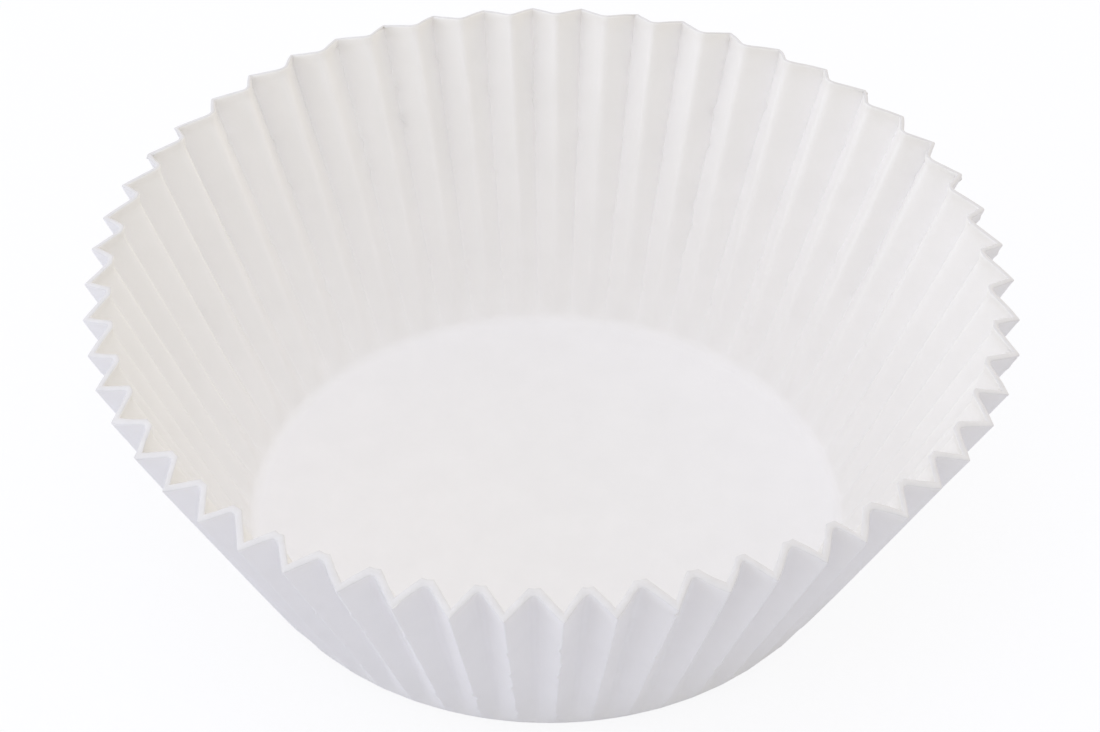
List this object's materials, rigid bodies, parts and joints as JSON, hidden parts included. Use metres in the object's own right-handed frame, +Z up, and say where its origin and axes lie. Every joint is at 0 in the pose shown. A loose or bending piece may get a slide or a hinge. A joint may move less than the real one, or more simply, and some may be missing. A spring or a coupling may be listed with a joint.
{
  "type": "cupcake liner",
  "caption": "Pleated white paper baking cup with a flat round base and a flared, fluted wall that holds batter or a small cake.",
  "frame": {"origin": "centre of the flat base's underside", "axes": "+Z up along the cup's axis, towards the open rim"},
  "size_m": [0.0766, 0.0764, 0.0257],
  "materials": {
    "paper": "matt white uncoated baking paper"
  },
  "bodies": {
    "root": {"liner": "paper"}
  },
  "joints": []
}
